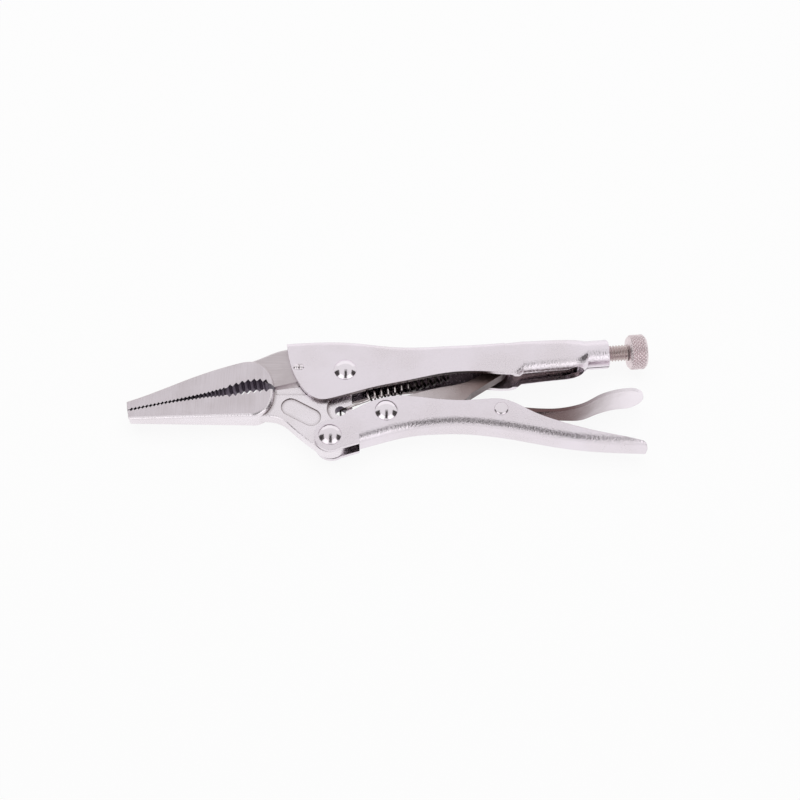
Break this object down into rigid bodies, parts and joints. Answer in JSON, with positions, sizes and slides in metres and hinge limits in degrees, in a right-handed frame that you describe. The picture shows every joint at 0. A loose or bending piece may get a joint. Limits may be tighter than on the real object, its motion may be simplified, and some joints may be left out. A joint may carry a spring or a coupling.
{
  "type": "long-nose locking pliers",
  "caption": "Long-nose locking pliers with toothed tapering jaws, sheet handles, an over-centre toggle, a release lever, a tension spring and a knurled adjusting screw.",
  "frame": {"origin": "middle of the tool in X and Y, at its lowest side, which is the flat wall of the upper handle", "axes": "+X from the jaw tips to the adjusting knob, +Y from the lower handle to the upper one, +Z across the tool, along the rivets"},
  "size_m": [0.2288, 0.059, 0.017],
  "materials": {
    "plated_sheet": "satin nickel plate with a fine sandy grain",
    "forged_jaw": "plated, with ground cheeks",
    "rivet_steel": "polished domes",
    "link_steel": "blanked plate, plated",
    "screw_steel": "rolled thread and knurl, plated",
    "spring_wire": "drawn wire"
  },
  "bodies": {
    "upper_frame": {"upper_handle": "plated_sheet", "fixed_jaw": "forged_jaw", "jaw_pin": "rivet_steel", "main_rivet": "rivet_steel", "jaw_spring": "spring_wire"},
    "moving_jaw": {"moving_jaw": "forged_jaw"},
    "lower_handle": {"lower_handle": "plated_sheet", "jaw_rivet": "rivet_steel", "toggle_rivet": "rivet_steel", "lever_rivet": "rivet_steel"},
    "toggle_link": {"toggle_link": "link_steel"},
    "release_lever": {"release_lever": "plated_sheet"},
    "adjusting_screw": {"adjusting_screw": "screw_steel"},
    "adjusting_knob": {"adjusting_knob": "screw_steel"}
  },
  "joints": [
    {"name": "jaw_hinge", "type": "hinge", "parent": "upper_frame", "child": "moving_jaw", "pos_m": [-0.01944, 0.00967, 0.0085], "axis": [0, 0, 1], "range_deg": [0, 18], "deforming": ["jaw_spring"]},
    {"name": "handle_hinge", "type": "hinge", "parent": "moving_jaw", "child": "lower_handle", "pos_m": [-0.02554, -0.02203, 0.0085], "axis": [0, 0, 1], "range_deg": [-56, 0]},
    {"name": "toggle_hinge", "type": "hinge", "parent": "lower_handle", "child": "toggle_link", "pos_m": [-0.00144, -0.01033, 0.0085], "axis": [0, 0, 1], "range_deg": [0, 63]},
    {"name": "lever_hinge", "type": "hinge", "parent": "lower_handle", "child": "release_lever", "pos_m": [0.04816, -0.01013, 0.0085], "axis": [0, 0, 1], "range_deg": [-8, 0]},
    {"name": "screw_slide", "type": "slide", "parent": "upper_frame", "child": "adjusting_screw", "axis": [0.9968, 0.0802, 0], "range_m": [0, 0.012]},
    {"name": "knob_turn", "type": "hinge", "parent": "adjusting_screw", "child": "adjusting_knob", "pos_m": [0.10996, 0.02157, 0.0085], "axis": [0.9968, 0.0802, 0], "range_deg": [0, 3201]}
  ],
  "couplings": [
    {"joint": "handle_hinge", "follows": "jaw_hinge", "ratio": -3.1111},
    {"joint": "toggle_hinge", "follows": "jaw_hinge", "ratio": 3.5},
    {"joint": "knob_turn", "follows": "screw_slide", "rad_per_m": 4654.2}
  ]
}
